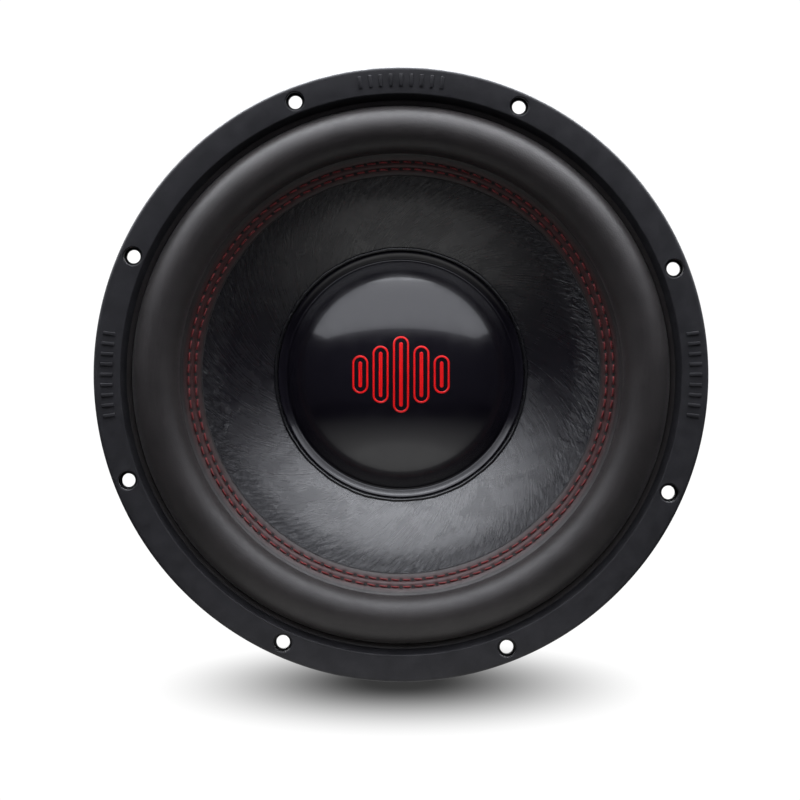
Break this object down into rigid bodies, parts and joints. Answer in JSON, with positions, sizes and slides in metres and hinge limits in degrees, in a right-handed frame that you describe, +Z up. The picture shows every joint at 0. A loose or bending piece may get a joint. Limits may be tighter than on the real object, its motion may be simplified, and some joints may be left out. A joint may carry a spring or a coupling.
{
  "type": "car subwoofer speaker",
  "caption": "Round long-throw car subwoofer driver: spoked basket, half-roll stitched surround, fibre cone, domed cap, stacked ring-magnet motor and sprung push terminals.",
  "frame": {"origin": "centre of the mounting-hole circle, on the back face of the flange that rests on the baffle", "axes": "-Y is the listening side, +Y towards the magnet, +Z up, +X to the right as seen from the front"},
  "size_m": [0.316, 0.1663, 0.316],
  "materials": {
    "basket": "black powder coat, fine texture",
    "gasket": "matt black moulded rubber",
    "foam": "satin fine-grained foam skin",
    "thread": "dull dark red twisted thread",
    "cone_fibre": "pressed black fibre with slanted streaks",
    "gloss_cap": "high gloss black",
    "glue": "glossy black adhesive",
    "emblem_red": "printed red lacquer",
    "former": "rolled foil",
    "collar": "kraft paper wrap",
    "winding_inner": "lacquered copper wire",
    "winding_outer": "lacquered copper wire",
    "solder": "soldered copper tab",
    "spider_cloth": "resin-dipped woven cloth",
    "plate_steel": "black zinc plated steel",
    "bolt_steel": "zinc plated steel",
    "ferrite": "ground ferrite",
    "ring_aluminium": "turned aluminium",
    "screen_steel": "perforated steel",
    "boot_rubber": "soft matt rubber",
    "housing": "moulded black plastic",
    "rivet": "aluminium rivet",
    "button_red": "moulded red plastic",
    "button_black": "moulded black plastic",
    "spring_steel": "spring wire",
    "contact_brass": "tin-plated brass strip",
    "tinsel": "braided tinsel wire"
  },
  "bodies": {
    "frame": {"basket": "basket", "mounting_gasket": "gasket", "top_plate": "plate_steel", "motor_bolts": "bolt_steel", "magnet_front": "ferrite", "magnet_rear": "ferrite", "yoke": "plate_steel", "shorting_ring": "ring_aluminium", "vent_screen": "screen_steel", "magnet_boot": "boot_rubber", "terminal_housing_right": "housing", "terminal_housing_left": "housing", "terminal_rivets": "rivet", "button_spring_right_upper": "spring_steel", "button_spring_right_lower": "spring_steel", "button_spring_left_upper": "spring_steel", "button_spring_left_lower": "spring_steel", "contact_right_upper": "contact_brass", "contact_right_lower": "contact_brass", "contact_left_upper": "contact_brass", "contact_left_lower": "contact_brass"},
    "moving_cone": {"surround": "foam", "stitching_outer": "thread", "stitching_inner": "thread", "cone": "cone_fibre", "dust_cap": "gloss_cap", "dust_cap_bead": "glue", "emblem": "emblem_red", "neck_glue": "glue", "voice_coil_former": "former", "former_collar": "collar", "inner_winding": "winding_inner", "outer_winding": "winding_outer", "lead_tabs": "solder", "spider": "spider_cloth", "tinsel_lead_right_upper": "tinsel", "tinsel_lead_right_lower": "tinsel", "tinsel_lead_left_upper": "tinsel", "tinsel_lead_left_lower": "tinsel"},
    "button_right_upper": {"push_button_right_upper": "button_red"},
    "button_right_lower": {"push_button_right_lower": "button_black"},
    "button_left_upper": {"push_button_left_upper": "button_red"},
    "button_left_lower": {"push_button_left_lower": "button_black"}
  },
  "joints": [
    {"name": "cone_travel", "type": "slide", "parent": "frame", "child": "moving_cone", "axis": [0, -1, 0], "range_m": [-0.018, 0.018], "stiffness_N_per_m": 6000, "deforming": ["surround", "spider", "tinsel_lead_right_upper", "tinsel_lead_right_lower", "tinsel_lead_left_upper", "tinsel_lead_left_lower"]},
    {"name": "push_right_upper", "type": "slide", "parent": "frame", "child": "button_right_upper", "axis": [-1, 0, 0], "range_m": [0, 0.003], "stiffness_N_per_m": 400, "springref_m": -0.003, "deforming": ["button_spring_right_upper"]},
    {"name": "push_right_lower", "type": "slide", "parent": "frame", "child": "button_right_lower", "axis": [-1, 0, 0], "range_m": [0, 0.003], "stiffness_N_per_m": 400, "springref_m": -0.003, "deforming": ["button_spring_right_lower"]},
    {"name": "push_left_upper", "type": "slide", "parent": "frame", "child": "button_left_upper", "axis": [1, 0, 0], "range_m": [0, 0.003], "stiffness_N_per_m": 400, "springref_m": -0.003, "deforming": ["button_spring_left_upper"]},
    {"name": "push_left_lower", "type": "slide", "parent": "frame", "child": "button_left_lower", "axis": [1, 0, 0], "range_m": [0, 0.003], "stiffness_N_per_m": 400, "springref_m": -0.003, "deforming": ["button_spring_left_lower"]}
  ]
}
